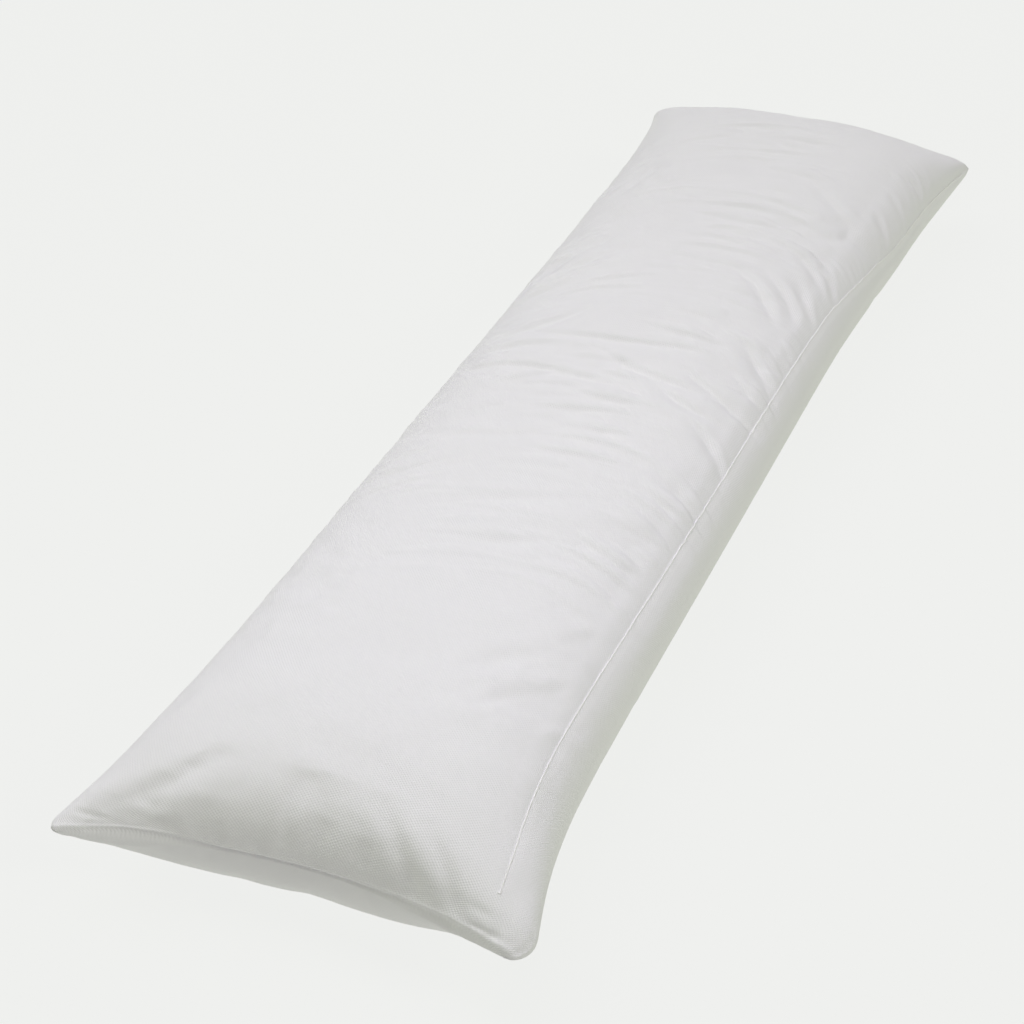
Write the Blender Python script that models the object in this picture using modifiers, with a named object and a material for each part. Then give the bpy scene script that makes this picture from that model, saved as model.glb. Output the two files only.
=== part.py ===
"""A long white body pillow, filled, lying on its back.

It is one closed solid. An upper and a lower sheet of cloth meet in a rim that runs round the
pillow. The filling lifts the upper sheet to a crown, draws the long sides and the ends in
between four ears, and presses the lower sheet flat where the pillow rests.

Sizes are in metres. +Z is up, +Y is the long way, and the resting face is at z = 0.
"""

from typing import NamedTuple

import bmesh
import bpy
import numpy as np

# Sizes of the filled pillow. The flat cloth is 0.400 wide and 1.450 long.
EAR_TO_EAR_LENGTH = 1.410
EAR_TO_EAR_WIDTH = 0.376
RIM_HEIGHT = 0.060
CROWN_RISE = 0.064
BELLY_DROP = 0.068
SECTION_POWER = 2.4

# How the long sides are drawn in between the ears, and how far the middle leans to one side
SIDE_DRAW = 0.027
SIDE_DRAW_OVER = 0.330
SIDE_LEAN = 0.004

# How the two ends close, and how their middles are drawn in
END_CLOSE_OVER = 0.170
END_CLOSE_POWER = 2.8
END_DRAW_NEAR = 0.0355
END_DRAW_FAR = 0.034
END_DRAW_POWER = 2.3
END_HEIGHT_NEAR = 0.056
END_HEIGHT_FAR = 0.060
EAR_HEIGHT_POWER = 2.5

# How much thinner the filling is near the tip of an ear
EAR_PINCH = 0.22
EAR_PINCH_OVER = 0.070

# The cage: cells across, cells in each end, and cells along the body
CELLS_ACROSS = 14
CELLS_PER_END = 7
SMOOTHING_LEVELS = 1


class Ear(NamedTuple):
    """One corner of the pillow. A low narrowing power keeps the side beside the ear straight."""

    outward: float
    outward_over: float
    forward: float
    tip_radius: float
    height: float
    narrowing_power: float


EARS = {
    "near left": Ear(
        outward=0.002, outward_over=0.050, forward=0.001, tip_radius=0.010, height=0.060, narrowing_power=3.4
    ),
    "near right": Ear(
        outward=0.013, outward_over=0.080, forward=0.000, tip_radius=0.022, height=0.056, narrowing_power=3.5
    ),
    "far left": Ear(
        outward=0.003, outward_over=0.080, forward=0.001, tip_radius=0.010, height=0.058, narrowing_power=3.4
    ),
    "far right": Ear(
        outward=0.010, outward_over=0.200, forward=0.001, tip_radius=0.011, height=0.051, narrowing_power=1.5
    ),
}


class Stretch(NamedTuple):
    """A length of the body that has evenly spaced rows of cells."""

    start_y: float
    end_y: float
    cells: int


STRETCHES = (
    Stretch(start_y=-0.535, end_y=-0.110, cells=8),
    Stretch(start_y=-0.110, end_y=0.320, cells=17),
    Stretch(start_y=0.320, end_y=0.535, cells=5),
)


class Crease(NamedTuple):
    """A soft trough in the upper sheet, with a low ridge along each side of it."""

    start_x: float
    start_y: float
    end_x: float
    end_y: float
    sag: float
    half_width: float
    depth: float


CREASES = (
    # Where the cloth gathers towards the two long sides
    Crease(start_x=-0.150, start_y=0.035, end_x=-0.045, end_y=0.105, sag=-0.012, half_width=0.014, depth=0.0040),
    Crease(start_x=-0.140, start_y=-0.027, end_x=0.045, end_y=-0.042, sag=0.010, half_width=0.015, depth=0.0028),
    Crease(start_x=-0.080, start_y=0.042, end_x=0.066, end_y=0.060, sag=0.000, half_width=0.014, depth=0.0022),
    Crease(start_x=-0.012, start_y=0.025, end_x=0.125, end_y=-0.035, sag=0.004, half_width=0.014, depth=0.0036),
    Crease(start_x=0.075, start_y=0.020, end_x=0.150, end_y=-0.020, sag=0.000, half_width=0.013, depth=0.0034),
    Crease(start_x=0.099, start_y=-0.058, end_x=0.150, end_y=-0.115, sag=0.004, half_width=0.014, depth=0.0028),
    Crease(start_x=-0.150, start_y=0.120, end_x=-0.090, end_y=0.256, sag=0.012, half_width=0.014, depth=0.0030),
    Crease(start_x=0.040, start_y=0.240, end_x=0.125, end_y=0.150, sag=0.008, half_width=0.015, depth=0.0028),
    Crease(start_x=0.110, start_y=0.247, end_x=0.150, end_y=0.185, sag=0.004, half_width=0.014, depth=0.0026),
    Crease(start_x=0.107, start_y=0.094, end_x=0.155, end_y=0.045, sag=0.004, half_width=0.014, depth=0.0028),
    # Where the near end gathers to its rim
    Crease(start_x=-0.095, start_y=-0.635, end_x=-0.145, end_y=-0.690, sag=0.004, half_width=0.013, depth=0.0036),
    Crease(start_x=-0.060, start_y=-0.650, end_x=-0.090, end_y=-0.680, sag=0.003, half_width=0.014, depth=0.0050),
    Crease(start_x=-0.015, start_y=-0.630, end_x=-0.004, end_y=-0.668, sag=0.000, half_width=0.014, depth=0.0040),
    Crease(start_x=0.050, start_y=-0.640, end_x=0.062, end_y=-0.668, sag=0.000, half_width=0.018, depth=0.0040),
    Crease(start_x=0.108, start_y=-0.640, end_x=0.148, end_y=-0.690, sag=-0.004, half_width=0.015, depth=0.0055),
)
RIDGE_SHARE = 0.35
CREASE_STEPS = 12


def clear_scene():
    for item in list(bpy.data.objects):
        bpy.data.objects.remove(item, do_unlink=True)


def row_places():
    """The y of each row of the cage, from the near end to the far end."""
    half_length = EAR_TO_EAR_LENGTH / 2
    turn = np.linspace(0, np.pi / 2, CELLS_PER_END + 1)
    from_tip = END_CLOSE_OVER * (1 - np.cos(turn))
    places = list(from_tip - half_length)
    for stretch in STRETCHES:
        places += list(np.linspace(stretch.start_y, stretch.end_y, stretch.cells + 1)[1:])
    places += list((half_length - from_tip)[::-1][1:])
    return np.array(places)


def blend(near, left, value):
    """One number for each point: the value of the ear that is nearest to it."""
    near_value = np.where(left, value(EARS["near left"]), value(EARS["near right"]))
    far_value = np.where(left, value(EARS["far left"]), value(EARS["far right"]))
    return np.where(near, near_value, far_value)


def half_width(from_tip, near, left):
    """How far the rim stands from the middle line, at a distance from the tips of the ears."""
    power = blend(near, left, lambda ear: ear.narrowing_power)
    drawn = 1 - (1 - np.minimum(from_tip / SIDE_DRAW_OVER, 1)) ** power
    outward = blend(near, left, lambda ear: ear.outward)
    over = blend(near, left, lambda ear: ear.outward_over)
    radius = blend(near, left, lambda ear: ear.tip_radius)
    inside = np.maximum(radius - from_tip, 0)
    rounding = radius - np.sqrt(np.maximum(radius ** 2 - inside ** 2, 0))
    return EAR_TO_EAR_WIDTH / 2 - SIDE_DRAW * drawn + outward * np.exp(-(from_tip / over) ** 2) - rounding


def crease_path(crease):
    """Points along a crease. The sag bows it to its left."""
    share = np.linspace(0, 1, CREASE_STEPS)
    start = np.array([crease.start_x, crease.start_y])
    end = np.array([crease.end_x, crease.end_y])
    along = (end - start) / np.linalg.norm(end - start)
    sideways = np.array([-along[1], along[0]])
    bow = 4 * share * (1 - share) * crease.sag
    return start + share[:, None] * (end - start) + bow[:, None] * sideways


def crease_drop(points):
    """How far each point of the upper sheet sinks or rises with the creases."""
    drop = np.zeros(len(points))
    for crease in CREASES:
        path = crease_path(crease)
        offset = points[:, None, :2] - path[None]
        distance = np.sqrt((offset ** 2).sum(axis=2))
        nearest = distance.argmin(axis=1)
        gap = distance.min(axis=1) / crease.half_width
        share = nearest / (CREASE_STEPS - 1)
        strength = 0.35 + 0.65 * np.sin(np.pi * share)
        trough = np.exp(-gap ** 2)
        ridge = RIDGE_SHARE * np.exp(-(gap - 2) ** 2)
        drop += crease.depth * strength * (trough - ridge)
    return drop


def sheet_points(grid_points, upper):
    """Moves the points of a flat grid to their places on the upper or the lower sheet."""
    half_length = EAR_TO_EAR_LENGTH / 2
    rows = row_places()
    row = (grid_points[:, 1] + 1) / 2 * (len(rows) - 1)
    y = np.interp(row, np.arange(len(rows)), rows)
    near = y < 0
    from_tip = half_length - np.abs(y)
    turn = (1 - grid_points[:, 0]) / 2 * np.pi
    across = np.sign(np.cos(turn)) * np.abs(np.cos(turn)) ** (2 / SECTION_POWER)
    across = np.where(np.abs(grid_points[:, 0]) < 1e-6, 0.0, across)
    rise = np.abs(np.sin(turn)) ** (2 / SECTION_POWER)
    rise = np.where(np.abs(grid_points[:, 0]) > 1 - 1e-6, 0.0, rise)
    left = across < 0

    closing = np.minimum(from_tip / END_CLOSE_OVER, 1)
    fullness = (1 - (1 - closing) ** END_CLOSE_POWER) ** (1 / END_CLOSE_POWER)
    width = half_width(from_tip, near, left)
    lean = SIDE_LEAN * (1 - (y / half_length) ** 2)
    to_ear = np.hypot(from_tip, (1 - np.abs(across)) * width)
    pinch = 1 - EAR_PINCH * np.exp(-(to_ear / EAR_PINCH_OVER) ** 2)
    lift = rise * fullness * pinch * (CROWN_RISE if upper else -BELLY_DROP)

    end_height = np.where(near, END_HEIGHT_NEAR, END_HEIGHT_FAR)
    ear_height = blend(near, left, lambda ear: ear.height)
    to_corner = np.abs(across) ** EAR_HEIGHT_POWER
    rim_height = end_height * (1 - to_corner) + ear_height * to_corner
    middle = RIM_HEIGHT + (rim_height - RIM_HEIGHT) * (1 - closing) ** 2

    end_draw = np.where(near, END_DRAW_NEAR, END_DRAW_FAR) * (1 - np.abs(across) ** END_DRAW_POWER)
    end_draw = end_draw - blend(near, left, lambda ear: ear.forward) * np.abs(across) ** 8
    inward = end_draw * (1 - closing)
    points = np.stack(
        [across * width + lean, y + np.where(near, inward, -inward), middle + lift], axis=1
    )
    if upper:
        points[:, 2] -= crease_drop(points) * np.minimum(rise * fullness * 1.6, 1)
    points[:, 2] = np.maximum(points[:, 2], 0)
    return points


def add_sheet(mesh, upper):
    """Adds one sheet to the mesh, as a flat grid whose points are then moved."""
    made = bmesh.ops.create_grid(
        mesh, x_segments=CELLS_ACROSS, y_segments=len(row_places()) - 1, size=1.0
    )
    corners = made["verts"]
    flat = np.array([corner.co[:] for corner in corners])
    for corner, place in zip(corners, sheet_points(flat, upper)):
        corner.co = place
    if not upper:
        faces = list({face for corner in corners for face in corner.link_faces})
        bmesh.ops.reverse_faces(mesh, faces=faces)


def white_cotton():
    """Plain white woven cotton."""
    material = bpy.data.materials.new("white_cotton")
    material.use_nodes = True
    shader = material.node_tree.nodes["Principled BSDF"]
    shader.inputs["Base Color"].default_value = (0.83, 0.83, 0.84, 1.0)
    shader.inputs["Roughness"].default_value = 0.85
    return material


def put_on_origin(pillow):
    """Moves the mesh so that the middle of the smooth form's underside is at the origin."""
    bpy.context.view_layer.update()
    smooth_form = pillow.evaluated_get(bpy.context.evaluated_depsgraph_get())
    places = np.array([point.co[:] for point in smooth_form.to_mesh().vertices])
    smooth_form.to_mesh_clear()
    middle = (places.min(axis=0) + places.max(axis=0)) / 2
    for point in pillow.data.vertices:
        point.co.x -= middle[0]
        point.co.y -= middle[1]


def build_pillow(collection):
    """The filled pillow as one closed body."""
    mesh = bmesh.new()
    add_sheet(mesh, upper=True)
    add_sheet(mesh, upper=False)
    bmesh.ops.remove_doubles(mesh, verts=mesh.verts, dist=0.00005)
    data = bpy.data.meshes.new("pillow")
    mesh.to_mesh(data)
    mesh.free()
    data.materials.append(white_cotton())
    pillow = bpy.data.objects.new("pillow", data)
    collection.objects.link(pillow)
    smooth = pillow.modifiers.new("Soft form", "SUBSURF")
    smooth.levels = SMOOTHING_LEVELS
    smooth.render_levels = SMOOTHING_LEVELS
    for face in data.polygons:
        face.use_smooth = True
    put_on_origin(pillow)


def main():
    clear_scene()
    collection = bpy.data.collections.new("body_pillow")
    bpy.context.scene.collection.children.link(collection)
    build_pillow(collection)


main()
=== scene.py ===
"""The looks of a long white body pillow that lies on its back.

The pillow is one cloth, folded along its left side, sewn across both ends and closed by one raised
seam along its right side. Sizes are in metres. +Z is up, +Y is the long way, and the pillow rests at
z = 0. A place on the cloth is given as across and along: how far it lies from the middle line and from
the middle of the pillow, measured on the cloth.
"""

from __future__ import annotations

import logging
import math
from collections.abc import Iterator
from contextlib import contextmanager
from dataclasses import dataclass, field
from enum import Enum

import bpy
import numpy as np
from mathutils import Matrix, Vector
from mathutils.bvhtree import BVHTree


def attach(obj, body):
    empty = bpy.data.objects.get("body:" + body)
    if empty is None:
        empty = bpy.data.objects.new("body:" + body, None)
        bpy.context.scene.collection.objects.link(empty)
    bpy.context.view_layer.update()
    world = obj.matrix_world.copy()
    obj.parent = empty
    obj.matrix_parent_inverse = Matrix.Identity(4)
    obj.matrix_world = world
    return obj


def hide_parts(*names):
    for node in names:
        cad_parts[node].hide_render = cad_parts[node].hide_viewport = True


RIM_TOLERANCE = 0.00005
MILLIMETRES = 1000

# Even noise: how many waves it adds up, and how their lengths vary beside the usual one
NOISE_WAVES = 14
NOISE_SHORTEST = 0.7
NOISE_LONGEST = 1.6

# How sharply a fold's two flanks meet
SIDE_SHARPNESS = 1e6

Piece = bpy.types.Object
Socket = bpy.types.NodeSocket
Values = np.ndarray
Colour = tuple[float, float, float]

logging.basicConfig(level=logging.INFO, format="%(message)s")
log = logging.getLogger("body_pillow")

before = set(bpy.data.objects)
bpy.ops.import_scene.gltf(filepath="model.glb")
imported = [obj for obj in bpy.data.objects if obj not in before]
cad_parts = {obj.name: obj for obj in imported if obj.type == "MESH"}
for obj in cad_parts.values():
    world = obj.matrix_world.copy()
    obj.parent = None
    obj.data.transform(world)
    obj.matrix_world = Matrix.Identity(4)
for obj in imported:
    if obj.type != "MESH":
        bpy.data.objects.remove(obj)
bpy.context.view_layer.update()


class Sheet(Enum):
    """The two sides of the pillow."""

    UPPER = "upper"
    LOWER = "lower"


def deselect_all() -> None:
    """Leaves nothing selected, in object mode."""
    if bpy.context.mode != "OBJECT":
        bpy.ops.object.mode_set(mode="OBJECT")
    bpy.ops.object.select_all(action="DESELECT")


def work_on(piece: Piece) -> None:
    """Makes a piece the only selected one and the active one.

    Args:
        piece: The piece.
    """
    deselect_all()
    piece.select_set(True)
    bpy.context.view_layer.objects.active = piece


@contextmanager
def editing(piece: Piece, first: str = "SELECT") -> Iterator[None]:
    """Opens a piece in edit mode, first with all of it selected or not, and then closes it again.

    Args:
        piece: The piece to open.
        first: What select_all does first.

    Yields:
        Nothing, while the piece is open.
    """
    work_on(piece)
    bpy.ops.object.mode_set(mode="EDIT")
    bpy.ops.mesh.select_all(action=first)
    yield
    bpy.ops.object.mode_set(mode="OBJECT")


def read_each(
    items: bpy.types.bpy_prop_collection, name: str, width: int = 1, kind: type = np.float32
) -> Values:
    """Reads one field of every item.

    Args:
        items: The points, corners or values to read.
        name: The field's name.
        width: How many numbers each item has in it.
        kind: The kind of number.

    Returns:
        The numbers, in one row for each item where it has several.
    """
    values = np.empty(len(items) * width, kind)
    items.foreach_get(name, values)
    values = values.astype(float) if kind is np.float32 else values
    return values.reshape(-1, width) if width > 1 else values


def points_of(piece: Piece) -> Values:
    """The places of a piece's points, one row for each."""
    return read_each(piece.data.vertices, "co", 3)


def put_points(piece: Piece, places: Values) -> None:
    """Moves a piece's points to these places."""
    piece.data.vertices.foreach_set("co", places.astype(np.float32).ravel())
    piece.data.update()


def normals_of(piece: Piece) -> Values:
    """The outward direction at each point of a piece."""
    return read_each(piece.data.vertex_normals, "vector", 3)


def read_values(piece: Piece, name: str) -> Values:
    """One number for each point, from a named attribute."""
    return read_each(piece.data.attributes[name].data, "value")


def write_values(piece: Piece, name: str, values: Values) -> None:
    """Stores one number for each point in a named attribute."""
    layer = piece.data.attributes.get(name) or piece.data.attributes.new(name, "FLOAT", "POINT")
    layer.data.foreach_set("value", values.astype(np.float32))


def cloth_places(piece: Piece) -> tuple[Values, Values]:
    """Where each point of a piece lies across and along the cloth."""
    return read_values(piece, "cloth_across"), read_values(piece, "cloth_along")


def turn_outward(piece: Piece) -> None:
    """Recalculates a closed piece's normals, and turns them all round if they point inwards.

    Args:
        piece: A closed piece.
    """
    with editing(piece):
        bpy.ops.mesh.normals_make_consistent(inside=False)
    places = points_of(piece)
    centre = Vector((places.min(axis=0) + places.max(axis=0)) / 2)
    if sum(face.area * face.normal.dot(face.center - centre) for face in piece.data.polygons) < 0:
        with editing(piece):
            bpy.ops.mesh.flip_normals()


def add_object(name: str, data: bpy.types.ID) -> Piece:
    """Adds an object with this data to the scene.

    Args:
        name: The object's name.
        data: Its curve, light or camera.

    Returns:
        The new object.
    """
    added = bpy.data.objects.new(name, data)
    bpy.context.scene.collection.objects.link(added)
    return added


def towards(azimuth_deg: float, elevation_deg: float) -> Vector:
    """The direction at an azimuth, counted from +Y towards +X, and an elevation."""
    turn, rise = math.radians(azimuth_deg), math.radians(elevation_deg)
    return Vector((math.sin(turn) * math.cos(rise), math.cos(turn) * math.cos(rise), math.sin(rise)))


def smooth_step(values: Values) -> Values:
    """An even change from 0 to 1."""
    share = np.clip(values, 0.0, 1.0)
    return share * share * (3 - 2 * share)


def even_out(values: Values, width: int, axis: int = 0) -> Values:
    """Evens values out along one axis, over an odd number of neighbours.

    Args:
        values: The values, in any number of axes.
        width: How many neighbours, an odd number.
        axis: Which axis they lie along.

    Returns:
        The evened values.
    """
    kernel = np.hanning(width + 2)[1:-1]
    edge = [(width // 2, width // 2) if axis == number else (0, 0) for number in range(values.ndim)]
    padded = np.pad(values, edge, mode="edge")
    return np.apply_along_axis(np.convolve, axis, padded, kernel / kernel.sum(), mode="valid")


def even_noise(across: Values, along: Values, wave: float, seed: int) -> Values:
    """Soft unevenness between about -1 and 1, the same on every run.

    Args:
        across: Where each point lies across the cloth.
        along: Where each point lies along the cloth.
        wave: The usual distance from one high place to the next.
        seed: Which of the many patterns to use.

    Returns:
        One height for each point.
    """
    source = np.random.default_rng(seed)
    total = np.zeros(len(across))
    for _ in range(NOISE_WAVES):
        turn = source.uniform(0, 2 * math.pi)
        length = wave * source.uniform(NOISE_SHORTEST, NOISE_LONGEST)
        phase = source.uniform(0, 2 * math.pi)
        forward = across * math.cos(turn) + along * math.sin(turn)
        total += np.sin(2 * math.pi * forward / length + phase)
    return total / math.sqrt(NOISE_WAVES)


@dataclass(frozen=True)
class Ear:
    """One corner of the pillow.

    A low narrowing power keeps the side beside the ear straight. A high pinch flattens the ear on top
    or underneath, over its reach. A low curve power bends the end seam early on its way to the ear. The
    side swell makes the side fuller some way behind the ear.
    """

    outward: float
    outward_over: float
    forward: float
    tip_radius: float
    height: float
    narrowing_power: float
    pinch: float
    pinch_reach: float
    pinch_under: float
    pinch_under_reach: float
    curve_power: float
    side_swell: float = 0.0


@dataclass(frozen=True)
class PillowForm:
    """The smooth filled form, with its crown, its drawn-in sides and ends and its four ears."""

    ear_to_ear_length: float = 1.4055
    ear_to_ear_width: float = 0.3765
    rim_height: float = 0.060
    crown_rise: float = 0.064
    belly_drop: float = 0.068
    section_power: float = 2.4
    side_draw: float = 0.0282
    side_draw_over: float = 0.330
    side_lean: float = 0.0018
    swell_at: float = 0.310
    swell_over: float = 0.110
    end_close_over: float = 0.170
    end_close_power: float = 2.8
    end_draw_near: float = 0.0355
    end_draw_far: float = 0.034
    end_height_near: float = 0.055
    end_height_far: float = 0.060
    ear_height_power: float = 3.0
    ear_forward_power: float = 8.0
    ear_share: float = 0.6
    near_left: Ear = Ear(0.002, 0.060, -0.001, 0.014, 0.0585, 3.4, 0.45, 0.080, 0.35, 0.060, 2.3)
    near_right: Ear = Ear(0.0065, 0.090, 0.000, 0.025, 0.0530, 3.0, 0.30, 0.070, 0.68, 0.078, 1.8)
    far_left: Ear = Ear(-0.001, 0.080, 0.000, 0.016, 0.058, 3.4, 0.22, 0.070, 0.15, 0.110, 2.3)
    far_right: Ear = Ear(0.003, 0.200, 0.002, 0.013, 0.051, 1.0, 0.22, 0.070, 0.15, 0.110, 4.5, 0.0066)

    @property
    def half_length(self) -> float:
        """Half the length from ear to ear."""
        return self.ear_to_ear_length / 2

    def of_ears(self, near: Values, left: Values, value: str) -> Values:
        """One number for each point: the named value of the ears at its end, in their shares."""
        pairs = ((self.near_left, self.near_right), (self.far_left, self.far_right))
        return np.where(
            near, *(getattr(a, value) * left + getattr(b, value) * (1 - left) for a, b in pairs)
        )

    def half_width(self, from_tip: Values, near: Values, left: Values) -> Values:
        """How far the rim stands from the middle line.

        Args:
            from_tip: How far each point lies from the line through the nearest two ears.
            near: Whether each point is in the near half.
            left: The left ear's share in each point, from 0 at the right rim to 1 at the left one.

        Returns:
            The half width at each point.
        """
        power = self.of_ears(near, left, "narrowing_power")
        drawn = 1 - (1 - np.minimum(from_tip / self.side_draw_over, 1)) ** power
        outward = self.of_ears(near, left, "outward")
        over = self.of_ears(near, left, "outward_over")
        radius = self.of_ears(near, left, "tip_radius")
        inside = np.maximum(radius - from_tip, 0)
        rounding = radius - np.sqrt(np.maximum(radius**2 - inside**2, 0))
        straight = self.ear_to_ear_width / 2 - self.side_draw * drawn
        swell = self.of_ears(near, left, "side_swell")
        swell = swell * np.exp(-(((from_tip - self.swell_at) / self.swell_over) ** 2))
        return straight + outward * np.exp(-((from_tip / over) ** 2)) + swell - rounding

    def fullness(self, from_tip: Values) -> Values:
        """How full the section is, from 0 at an end seam to 1 along the body."""
        closing = np.minimum(from_tip / self.end_close_over, 1)
        return (1 - (1 - closing) ** self.end_close_power) ** (1 / self.end_close_power)

    def section(self, turn: Values) -> tuple[Values, Values]:
        """Where a turn from the right rim, over the top, to the left rim lies on the rounded section.

        Args:
            turn: The turn in radians, 0 at the right rim and pi at the left one.

        Returns:
            How far across, from -1 to 1, and how high, from 0 to 1.
        """
        across = np.sign(np.cos(turn)) * np.abs(np.cos(turn)) ** (2 / self.section_power)
        rise = np.abs(np.sin(turn)) ** (2 / self.section_power)
        return across, rise

    def places(self, turn: Values, along: Values, sheet: Sheet) -> Values:
        """The places of points on the filled form.

        Args:
            turn: The turn of each point round the section.
            along: How far along the pillow each point lies, before the ends are drawn in.
            sheet: Which side of the pillow the points are on.

        Returns:
            One place for each point.
        """
        near = along < 0
        from_tip = self.half_length - np.abs(along)
        across, rise = self.section(turn)
        left = smooth_step(0.5 - across / (2 * self.ear_share))
        closing = np.minimum(from_tip / self.end_close_over, 1)
        width = self.half_width(from_tip, near, left)
        lean = self.side_lean * (1 - (along / self.half_length) ** 2)
        to_ear = np.hypot(from_tip, (1 - np.abs(across)) * width)
        side = "pinch" if sheet is Sheet.UPPER else "pinch_under"
        reach = self.of_ears(near, left, side + "_reach")
        pinch = 1 - self.of_ears(near, left, side) * np.exp(-((to_ear / reach) ** 2))
        rise_here = self.crown_rise if sheet is Sheet.UPPER else -self.belly_drop
        lift = rise * self.fullness(from_tip) * pinch * rise_here

        end_height = np.where(near, self.end_height_near, self.end_height_far)
        ear_height = self.of_ears(near, left, "height")
        to_corner = np.abs(across) ** self.ear_height_power
        rim_height = end_height * (1 - to_corner) + ear_height * to_corner
        middle = self.rim_height + (rim_height - self.rim_height) * (1 - closing) ** 2

        draw = np.where(near, self.end_draw_near, self.end_draw_far)
        draw = draw * (1 - np.abs(across) ** self.of_ears(near, left, "curve_power"))
        draw = draw - self.of_ears(near, left, "forward") * np.abs(across) ** self.ear_forward_power
        inward = draw * (1 - closing)
        height = np.maximum(middle + lift, 0)
        drawn_in = along + np.where(near, inward, -inward)
        return np.stack([across * width + lean, drawn_in, height], axis=1)


@dataclass(frozen=True)
class SeamPlace:
    """One place on the closing seam, by its place along the cloth and its distance from the rim."""

    along: float
    from_rim: float


@dataclass(frozen=True)
class Fold:
    """A soft trough in the upper side, with a low ridge on each side of it.

    The lean is how many times wider its left flank is than its right one, as seen from its start. The
    ridge share is how high its ridges are beside its depth. The ridge place and the reach are counted
    in half widths. The end share is how far it has risen where its path starts and ends.
    """

    start_across: float
    start_along: float
    end_across: float
    end_along: float
    bow: float
    half_width: float
    depth: float
    lean: float = 1.0
    ridge_share: float = 0.22
    ridge_place: float = 2.0
    reach: float = 4.0
    end_share: float = 0.08
    end_power: float = 0.8
    steps: int = 14

    def path(self) -> Values:
        """Points along the fold, which the bow bends to its left.

        Returns:
            One row of across and along for each point.
        """
        share = np.linspace(0, 1, self.steps)
        start = np.array([self.start_across, self.start_along])
        end = np.array([self.end_across, self.end_along])
        forward = (end - start) / np.linalg.norm(end - start)
        sideways = np.array([-forward[1], forward[0]])
        bend = 4 * share * (1 - share) * self.bow
        return start + share[:, None] * (end - start) + bend[:, None] * sideways

    def press_into(self, height: Values, here: Values) -> None:
        """Sinks the heights under the fold.

        Args:
            height: One height for each point, which this changes.
            here: Where each point lies on the cloth, one row of across and along for each.
        """
        path = self.path()
        reach = self.reach * self.half_width
        near = np.all((here > path.min(axis=0) - reach) & (here < path.max(axis=0) + reach), axis=1)
        start, step = path[:-1], np.diff(path, axis=0)
        offset = here[near][:, None] - start[None]
        share = np.clip((offset * step).sum(axis=2) / (step**2).sum(axis=1), 0, 1)
        gap = np.linalg.norm(offset - share[:, :, None] * step, axis=2)
        nearest = gap.argmin(axis=1)
        which = np.arange(len(nearest))
        ahead, aside = step[nearest], offset[which, nearest]
        turned = ahead[:, 0] * aside[:, 1] - ahead[:, 1] * aside[:, 0]
        on_left = smooth_step(turned * SIDE_SHARPNESS + 0.5)
        distance = gap.min(axis=1) / (self.half_width * self.lean ** (on_left - 0.5))
        through = (nearest + share[which, nearest]) / len(step)
        risen = np.clip(self.end_share + (1 - 2 * self.end_share) * through, 0, 1)
        trough = np.exp(-(distance**2))
        ridge = self.ridge_share * np.exp(-((distance - self.ridge_place) ** 2))
        height[near] -= self.depth * np.sin(np.pi * risen) ** self.end_power * (trough - ridge)


@dataclass(frozen=True)
class Waves:
    """Unevenness of the filling: how high, how far apart, and which pattern."""

    height: float
    length: float
    seed: int


@dataclass(frozen=True)
class Ripples:
    """Faint creases that cross the pillow in low arches, with patches of smooth cloth between them."""

    height: float = 0.0021
    length: float = 0.028
    stretch: float = 4.0
    slope: float = 0.15
    arch: float = 2.0
    swell_share: float = 0.6
    crease_share: float = 0.8
    crease_width: float = 0.4
    patch_length: float = 0.160
    patch_middle: float = 0.55
    patch_spread: float = 0.5
    from_along: float = -0.42
    to_along: float = 0.66
    fade: float = 0.12
    seed: int = 21

    def heights(self, across: Values, along: Values) -> Values:
        """How far the creases raise or sink each place on the upper side.

        Args:
            across: Where each point lies across the cloth.
            along: Where each point lies along the cloth.

        Returns:
            One height for each point.
        """
        arched = along - self.slope * across + self.arch * across**2
        wave = even_noise(across / self.stretch, arched, self.length, self.seed)
        crease = np.exp(-((wave / self.crease_width) ** 2))
        creased = self.swell_share * wave - self.crease_share * crease
        patches = even_noise(across, along, self.patch_length, self.seed + 1)
        patch = smooth_step(self.patch_middle + self.patch_spread * patches)
        begun = smooth_step((along - self.from_along) / self.fade)
        here = begun * smooth_step((self.to_along - along) / self.fade)
        return self.height * creased * patch * here


@dataclass(frozen=True)
class ClothPlan:
    """How the cloth is divided into cells. A cell is halved once more when the mesh is smoothed."""

    cell_along: float = 0.0055
    cell_across: float = 0.0055
    first_cell: float = 0.0010
    growth: float = 1.3
    seam_cell: float = 0.0028
    seam_zone_start: float = 0.030
    seam_zone_end: float = 0.052
    beside_seam: float = 0.022
    beside_share: float = 0.7
    ladder_steps: int = 400

    def steps_from_end(self, total: float) -> Values:
        """Distances from an end seam to the middle of the pillow, finest beside the seam.

        Args:
            total: The distance from the end seam to the middle.

        Returns:
            The distances, from 0 up to the total.
        """
        places = [0.0]
        step = self.first_cell
        while places[-1] + step < total:
            places.append(places[-1] + step)
            step = min(step * self.growth, self.cell_along)
        kept = places[:-1] if total - places[-1] < step / 2 else places
        return np.array(kept + [total])

    def steps_across(self, total: float) -> Values:
        """Distances from the right rim, over the top, to the left rim, finest beside the seam.

        Args:
            total: The distance from rim to rim.

        Returns:
            The distances, from 0 up to the total.
        """
        places = [0.0]
        zone_middle = (self.seam_zone_start + self.seam_zone_end) / 2
        while places[-1] < total:
            in_zone = self.seam_zone_start <= places[-1] < self.seam_zone_end
            beside = abs(places[-1] - zone_middle) < self.beside_seam
            step = self.cell_across * (self.beside_share if beside else 1.0)
            places.append(places[-1] + (self.seam_cell if in_zone else step))
        return np.array(places) * total / places[-1]


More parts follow.
